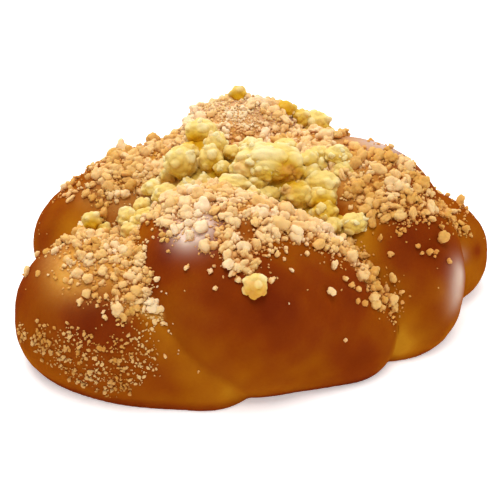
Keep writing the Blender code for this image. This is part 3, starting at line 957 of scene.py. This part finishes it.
def colour_marks(piece, points, painted_side_shade, dip):
    """Stores what the crumble's painted shade depends on: shade spots, side shade and dips."""
    near = [np.exp(-((points - row[:3]) ** 2).sum(axis=1) / row[3] ** 2) for row in PAINTED_SHADE_SPOTS]
    # painted shade from the spots, strongest in their middles
    store(piece, "painted_shade", np.max(near, axis=0))
    store(piece, "painted_side_shade", painted_side_shade)
    store(piece, "dip", dip)


def lumps_piece(name, parts):
    """Lumps joined to one piece, with the marks for their painted shade."""
    piece = joined(name, parts)
    points, _, painted_side_shade, dip = (np.concatenate(column) for column in zip(*parts))
    colour_marks(piece, points, painted_side_shade, dip)
    print(name, len(piece.data.polygons), "triangles")
    return piece


CORE_SUNK = 1.6
core_unit, core_faces = icosphere(3)
# the core lies deep in the heap, so it gets the full painted shade: side shade and dip at 1
inside = np.ones(len(core_unit))
core_parts = [((x, y, z - CORE_SUNK) + core_unit * radius, core_faces, inside, inside)
              for x, y, z, radius in CORE[::3]]
heap = lumps_piece("crumble_heap", heap_parts + core_parts)

# %% Grains that stick to the lumps
GRAIN_TRIES = 130
GRAIN_RADIUS, GRAIN_MORE = 0.9, 0.8
GRAIN_SUNK = 0.35
COVERED = 0.95
GRAIN_ON_TOP = 0.2

grain_rng = np.random.default_rng(SEED + 1)
skins, _, turned, _ = (np.concatenate(column) for column in zip(*heap_parts))
owner = np.repeat(np.arange(len(heap_parts)), [len(part[0]) for part in heap_parts])
pick = grain_rng.choice(len(skins), GRAIN_TRIES, replace=False)
# how far each try is from each lump's middle, in half widths; its own lump doesn't cover it
inner = np.array([np.linalg.norm((skins[pick] - lump[:3]) / lump[3:], axis=1)
                  for lump in heap_lumps])
inner[owner[pick], np.arange(GRAIN_TRIES)] = np.inf
pick = pick[inner.min(axis=0) > COVERED]
grain_radius = GRAIN_RADIUS + GRAIN_MORE * grain_rng.uniform(0, 1, len(pick)) ** 2
towards = heap_lumps[owner[pick], :3] - skins[pick]
towards /= np.linalg.norm(towards, axis=1)[:, None]
sunk = skins[pick] + towards * (GRAIN_SUNK * grain_radius)[:, None]
heap_grains, corners_each = nuggets("heap_grains", np.column_stack([sunk, grain_radius]), 2, 35,
                                    None, 6)
# grains stand on top of the lumps, so they get no painted dip shade and a little less painted side
# shade
colour_marks(heap_grains, np.repeat(skins[pick], corners_each, axis=0),
             np.repeat(turned[pick], corners_each) - GRAIN_ON_TOP,
             np.zeros(len(pick) * corners_each))
print("grains on the heap:", len(pick))

# %% [markdown]
# Crumble is dry and matt, with a little light inside. Its colour is palest on top, and painted
# shade turns it yellow and ochre on the sides that face front, back and down, in the dips between
# knobs, on the core and in listed spots. Clouds of noise toast it in places, and fine noise gives
# the surface its sandy grain.

# %% Crumble finish
crumble_finish = Finish("butter_crumble", Roughness=0.8, IOR=1.4, Specular_IOR_Level=0.15,
                        Subsurface_Weight=0.15, Subsurface_Scale=0.002,
                        Subsurface_Radius=(1.0, 0.7, 0.3))
dip = crumble_finish.attribute("dip")
painted_side_shade = crumble_finish.attribute("painted_side_shade")
toast = crumble_finish.noise(9, 3, 0.6)
speck = crumble_finish.noise(0.7, 2, 0.6)
# painted shade: yellow and ochre on sides facing front, back and down, in dips, and in the shade
# spots
shade = (crumble_finish.step(painted_side_shade, 0.1, 1.0) * 0.26 + dip * 0.36
         + crumble_finish.attribute("painted_shade") * 0.8).clamped()
crumble_colour = crumble_finish.ramp(shade, [
    (0.0, srgb(234, 216, 160)), (0.35, srgb(228, 200, 120)), (0.7, srgb(214, 174, 64)),
    (1.0, srgb(204, 152, 16))])
crumble_colour = crumble_finish.mix(crumble_finish.step(toast, 0.55, 0.72) * 0.5, crumble_colour,
                                    srgb(224, 160, 92))
crumble_finish.feed(Base_Color=crumble_colour,
                    Normal=crumble_finish.bump(speck + crumble_finish.noise(1.8, 2, 0.5), 0.18))
for piece in (heap, heap_grains):
    piece.data.materials.append(crumble_finish.material)

# %% [markdown]
# ## Crumbs on the crust
#
# The largest crumbs are where the loaf's solid has them: a few that stand out in the
# photograph, given one by one, and the others by the same seeded rule. Thousands of
# finer ones go between: their places are points of the crust, drawn with a chance that is high
# where it is level and near the middle, and in the seams, and low elsewhere.

# %% The largest crumbs, as in the solid
PLACED_CRUMBS = np.array([
    # x, y, radius, and height of the middle over the crust in radii
    (-4.0, 53.2, 2.9, 0.75), (-0.6, 53.6, 1.9, 0.5), (-7.0, 52.8, 1.5, 0.5),
    (1.4, -49.6, 3.5, 0.35), (-50.5, 2.8, 3.3, 0.5), (-47.2, 0.8, 2.5, 0.5),
    (-53.4, 1.2, 1.9, 0.5), (23.3, -41.6, 1.4, 0.5), (59.3, -12.8, 1.5, 0.5),
    (43.5, -25.0, 1.4, 0.4), (11.7, 49.5, 3.2, 0.4), (17.0, 48.5, 3.4, 0.5),
    (21.3, 49.0, 4.9, 0.5), (25.3, 49.5, 2.7, 0.9), (-32.5, 37.0, 2.2, 0.5),
    (-42.5, 34.5, 2.2, 0.5),
])
BARE_CRUST = [
    # x, y and reach of places where no large crumb stuck
    (-25, -37, 6), (-16, -45, 8), (15, -41, 11), (39, -18, 8), (50, -21, 10), (60, -11, 6),
    (-59, 6, 9), (-51.5, 9, 6), (-60, -35, 10), (42, 24, 12), (54, 16, 8), (-3, 42, 13),
]
CRUMBS = 122
CRUMB_TRIES = 4000
CRUMB_FIELD = {"x": (-78, 78), "y": (-60, 70)}
CRUMB_RADII = (2.5, 1.2)
CRUMB_LIFT = 0.4
CRUMB_CLEAR = 0.8
CRUMB_APART = 0.8
FOOT_STEPS = 4


def heap_distance(points):
    """Distance from each place to the heap's core and lumps."""
    balls = np.vstack([CORE, np.column_stack([LUMPS[:, :3], LUMPS[:, 3:].max(axis=1)]),
                       FILLER_LUMPS[:, :4]])
    apart = [np.linalg.norm(points - ball[:3], axis=1) - ball[3] for ball in balls]
    return np.min(apart, axis=0)


def crumb_places():
    """Place, radius and lift of the largest crumbs: the placed ones, then those of the rule."""
    rng = np.random.default_rng(SEED)
    x = rng.uniform(*CRUMB_FIELD["x"], CRUMB_TRIES)
    y = rng.uniform(*CRUMB_FIELD["y"], CRUMB_TRIES)
    luck = rng.uniform(0, 1, CRUMB_TRIES)
    share = np.arange(CRUMB_TRIES) / CRUMB_TRIES
    radius = CRUMB_RADII[1] + (CRUMB_RADII[0] - CRUMB_RADII[1]) * (1 - share) ** 6
    z, slope, drop = crust_top(x, y)
    far = far_from_middle(x, y)
    open_crust = ramp(slope, 0.62, 0.93) * (1 - ramp(far, 0.7, 1.35))
    in_seam = (1 - ramp(drop, 2, 7)) * (1 - ramp(far, 0.9, 1.6)) * ramp(slope, 0.2, 0.5)
    wanted = luck < np.maximum(open_crust, 0.8 * in_seam) + 0.012 * ramp(slope, 0.4, 0.6)
    clear = heap_distance(np.stack([x, y, z], 1)) > radius + CRUMB_CLEAR
    for bare_x, bare_y, reach in BARE_CRUST:
        clear &= np.hypot(x - bare_x, y - bare_y) > reach

    lone = PLACED_CRUMBS
    kept = list(np.column_stack([lone[:, :2], crust_top(lone[:, 0], lone[:, 1])[0], lone[:, 2:]]))
    for i in np.flatnonzero(wanted & clear & (z > 0)):
        place = (x[i], y[i], z[i])
        if all(math.dist(place, other[:3]) > CRUMB_APART * (radius[i] + other[3])
               for other in kept):
            kept.append((*place, radius[i], CRUMB_LIFT))
        if len(kept) == CRUMBS:
            break
    return np.array(kept)


coarse = crumb_places()
feet = coarse[:, :3].copy()
for _ in range(FOOT_STEPS):
    gap, ways, _ = to_dough(feet)
    feet -= ways * gap[:, None]
coarse = np.column_stack([feet + ways * (coarse[:, 3] * coarse[:, 4])[:, None], coarse[:, 3]])
print("coarse crumbs:", len(coarse))

# %% The largest of them are lumps like those of the heap
LUMP_FROM = 2.45
as_lump = coarse[:, 3] >= LUMP_FROM
crust_lumps = lumps_piece("crust_lumps", [
    grown_lump(np.array([x, y, z, radius, radius, radius]), heap_rng)
    for x, y, z, radius in coarse[as_lump]])
crust_lumps.data.materials.append(crumble_finish.material)


# %% [markdown]
# The chance of a crumb is a product of ramps: how level the crust is, how near the dip, and two
# fields of waves that make drifts and gaps. Seams catch some more, and the spots of the tables
# above add to it or take from it. Medium and small crumbs lie beside one another, so a place
# too near to a larger crumb is passed over; the fine ones go anywhere.

# %% Finer crumbs
def crumb_chance(points, ways, gap):
    """How likely crumble is at each point of the crust."""
    far = far_from_middle(points[:, 0], points[:, 1])
    far = far + 0.09 * waves(points, 16, 11)
    flat = ramp(ways[:, 2], 0.7, 0.87)
    chance = flat * (1 - ramp(far, 1.0, 1.4))
    chance *= 0.3 + 0.7 * ramp(waves(points, 11, 12), -1.3, 0.2)
    chance *= 0.25 + 0.75 * ramp(waves(points, 4.5, 13), -0.9, 0.3)
    in_seam = (1 - ramp(gap, 1.0, 6.0)) * (1 - ramp(far, 1.0, 1.5)) * ramp(ways[:, 2], 0.1, 0.45)
    stray = 0.012 * ramp(ways[:, 2], 0.3, 0.6) * (1 - ramp(far, 1.5, 1.9))
    bare = np.minimum(spots(points, BARE), 0.97)
    chance = (np.maximum(chance, 0.6 * in_seam) + stray) * (1 - bare)
    return chance + spots(points, CRUMBLY) * ramp(ways[:, 2], 0.2, 0.6)


SCATTER_LIFT = (0.15, 0.6)
STREW_LIFT = (0.1, 0.5)
PILE, MOST_LIFT = 0.8, 0.8
THIN_SIZE = 0.55


def scatter(count, radii, seed, chance):
    """Crumbs on the crust, drawn by chance: a power law of radius from the first to the second."""
    rng = np.random.default_rng(seed)
    pick = rng.choice(len(skin), count, replace=False, p=chance / chance.sum())
    radius = radii[1] + (radii[0] - radii[1]) * rng.uniform(0, 1, count) ** 2.2
    drift = np.cross(outward[pick], rng.normal(size=(count, 3))) * CRUST_GRAIN
    lifted = radius * rng.uniform(*SCATTER_LIFT, count)
    centre = skin[pick] + drift + outward[pick] * lifted[:, None]
    return np.column_stack([centre, radius])


def strew(tries, radii, seed, chance, others, closeness):
    """Crumbs that lie beside one another, largest first: a place too near another is passed over.

    Where crumbs are rare they are smaller, down to THIN_SIZE of their radius. Where the waves
    pile them up they are lifted by up to PILE millimetres, but never by more than MOST_LIFT of
    their radius, so that none hangs above the crust."""
    rng = np.random.default_rng(seed)
    pick = rng.choice(len(skin), tries, replace=False, p=chance / chance.sum())
    radius = radii[1] + (radii[0] - radii[1]) * (1 - np.arange(tries) / tries) ** 2.5
    drift = np.cross(outward[pick], rng.normal(size=(tries, 3))) * CRUST_GRAIN * 0.5
    radius *= THIN_SIZE + (1 - THIN_SIZE) * ramp(chance[pick], 0.03, 0.2)
    heaped = radius * rng.uniform(*STREW_LIFT, tries)
    heaped += PILE * ramp(waves(skin[pick], 4.5, 13), 0.2, 1.6)
    lifted = np.minimum(heaped, MOST_LIFT * radius)
    centre = skin[pick] + drift + outward[pick] * lifted[:, None]
    kept = np.zeros((len(others) + tries, 4))
    kept[:len(others)] = others
    count = len(others)
    for place, size in zip(centre, radius):
        apart = kept[:count, :3] - place
        nearest_allowed = closeness * (kept[:count, 3] + size)
        if (np.einsum("ij,ij->i", apart, apart) > nearest_allowed ** 2).all():
            kept[count] = (*place, size)
            count += 1
    return kept[len(others):count]


# tries (for the fine ones crumbs), and the largest and smallest radius in millimetres
MEDIUM = (2400, (1.9, 0.8))
SMALL = (4500, (0.85, 0.45))
FINE = (8000, (0.5, 0.25))
SMALL_KEPT = 2440  # of the small ones, so that their piece stays under 200,000 triangles
TOUCHING = 0.5     # least distance of two crumbs, as a share of their radii's sum
UNDER_HEAP = -2.0  # how deep in the heap's lumps no crumb shows any more, in millimetres
CRUMBS_FROM = 3    # height over the tray of the lowest crumbs, in millimetres
LONE_SMALL = np.array([
    # x, y, height, radius of single small crumbs on the bare crust, picked in the photograph
    (39.7, -17.1, 38.6, 1.0), (45.8, -16.5, 39.6, 1.0), (55.1, -18.1, 34.2, 1.1),
    (51.3, -18.2, 36.4, 0.9), (52.5, -19.3, 34.5, 0.9), (57.1, -17.1, 33.6, 0.9),
    (11.8, -43.4, 43.4, 1.0), (9.8, -41.4, 45.8, 0.9), (-18.1, -43.5, 44.4, 1.0),
    (-11.4, -46.2, 44.8, 0.8), (-3.4, -48.9, 43.1, 0.9), (6.3, -47.4, 42.5, 1.0),
    (28.0, -45.1, 20.1, 0.8), (-29.2, -38.7, 38.1, 1.0), (-24.6, -53.6, 20.8, 1.0),
    (34.2, -36.5, 27.5, 1.0), (41.7, -26.3, 25.6, 1.0), (28.1, -34.9, 35.3, 1.1),
    (30.2, -35.2, 33.1, 1.0), (-49.6, -42.8, 32.0, 1.1), (-42.3, -47.5, 29.9, 1.0),
    (-44.4, -44.9, 32.0, 1.0), (0.5, -45.8, 45.5, 1.5), (-2.8, -46.2, 45.8, 1.2),
])

chance = crumb_chance(skin, outward, seam_gap)
chance = chance * (heap_distance(skin) > UNDER_HEAP) * (skin[:, 2] > CRUMBS_FROM)
rough = chance * (1 - 0.9 * np.minimum(spots(skin, FINER), 1))
medium = strew(*MEDIUM, 21, rough, coarse, TOUCHING)
small = strew(*SMALL, 22, chance, np.vstack([coarse, medium]), TOUCHING)
small = np.vstack([small[:SMALL_KEPT], LONE_SMALL])
fine = scatter(*FINE, 23, chance ** 1.3)
print("crumbs:", len(coarse), len(medium), len(small), len(fine))

# %% [markdown]
# Baked crumbs are browner than the heap. The tone gives each its colour, clouds of noise toast
# some more, and the foot of a crumb is mixed towards a brown like the crust's by its lift, as a
# painted shade where it sits in the crust.
#
# The finer the crumbs, the coarser their icospheres: 320 faces for the large ones, 80 for the
# middling and small, 20 for the fine, which keeps each of these pieces under 200,000 triangles.

# %% Crumb finish and pieces
crumb_finish = Finish("baked_crumbs", Roughness=0.8, IOR=1.4, Specular_IOR_Level=0.15,
                      Subsurface_Weight=0.2, Subsurface_Scale=0.0015,
                      Subsurface_Radius=(1.0, 0.6, 0.25))
tone = crumb_finish.attribute("tone")
lift = crumb_finish.attribute("lift")
crumb_colour = crumb_finish.ramp(tone, [(0.0, srgb(240, 212, 172)), (0.4, srgb(234, 198, 144)),
                                        (0.75, srgb(226, 182, 112)), (1.0, srgb(210, 156, 76))])
crumb_colour = crumb_finish.mix(crumb_finish.step(crumb_finish.noise(3, 2, 0.5), 0.5, 0.7) * 0.5,
                                crumb_colour, srgb(224, 172, 106))
# painted shade: the foot of a crumb, low over the crust, is mixed towards brown
crumb_colour = crumb_finish.mix(crumb_finish.step(lift, 1.1, -0.1) * 0.75, crumb_colour,
                                srgb(208, 138, 60))
crumb_finish.feed(Base_Color=crumb_colour,
                  Normal=crumb_finish.bump(crumb_finish.noise(0.5, 3, 0.6), 0.1))

LARGE_CRUMBS = 600
large = np.vstack([coarse[~as_lump], medium])
large = large[np.argsort(-large[:, 3])]
crumbs, _ = nuggets("baked_crumbs", large[:LARGE_CRUMBS], 3, 31, crumb_finish.material, 11)
middling_crumbs, _ = nuggets("middling_crumbs", large[LARGE_CRUMBS:], 2, 36,
                             crumb_finish.material, 9)
small_crumbs, _ = nuggets("small_crumbs", small, 2, 32, crumb_finish.material, 7)
fine_crumbs, _ = nuggets("fine_crumbs", fine, 1, 33, crumb_finish.material, 5)

# %% [markdown]
# The low left end of the loaf is dusted with grains of sugar and flour, in small drifts. They
# are the finest nuggets. A power of the drifts' strength gathers them in the drifts' middles.

# %% Dust
DRIFTS = np.array([
    # x, y, height and reach in millimetres, how much dust
    (-68.4, -36.5, 16.4, 3, 0.7), (-61.3, -43.7, 18.4, 4.5, 1.0), (-52, -48.5, 23, 3.5, 0.8),
    (-48, -49.5, 22.5, 3.5, 1.0), (-38.7, -53.1, 21.8, 4, 1.0), (-31.2, -52.2, 24.7, 4, 0.8),
    (-55.8, -47.5, 17, 5, 0.5), (-45.1, -52.5, 16.5, 6, 0.5), (-36.3, -54.7, 16, 6, 0.5),
    (-51.3, -50.2, 12, 6, 0.3), (-31.8, -54.6, 17, 5, 0.4), (-42, -53, 10, 7, 0.2),
])
DUST = (650, (0.8, 0.2))

dusted = spots(skin, DRIFTS) * ramp(waves(skin, 2.4, 42), -0.4, 1.0) ** 2 * (seam_gap > 1.5)
dust = scatter(*DUST, 43, dusted ** 2.5 + 1e-9)
dust_finish = Finish("dust", Roughness=0.85, Specular_IOR_Level=0.1)
dust_finish.feed(Base_Color=dust_finish.ramp(dust_finish.attribute("tone"), [
    (0.0, srgb(226, 190, 128)), (1.0, srgb(196, 136, 60))]))
dust_grains, _ = nuggets("dust", dust, 1, 44, dust_finish.material, 5)
for piece in (crust_lumps, crumbs, middling_crumbs, small_crumbs, fine_crumbs, dust_grains):
    print(piece.name, len(piece.data.polygons), "faces")

# %% [markdown]
# ## Into the frame
#
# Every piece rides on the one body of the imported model. The crust and the crumbs that are
# baked onto it stand for the solid loaf, and the crumble stands for the solid heap.

# %% Riding and replacing
for piece in (crust, crust_lumps, crumbs, middling_crumbs, small_crumbs, fine_crumbs, dust_grains):
    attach(piece, "root")
    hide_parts("bread")
for piece in (heap, heap_grains):
    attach(piece, "root")
    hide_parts("streusel_heap")
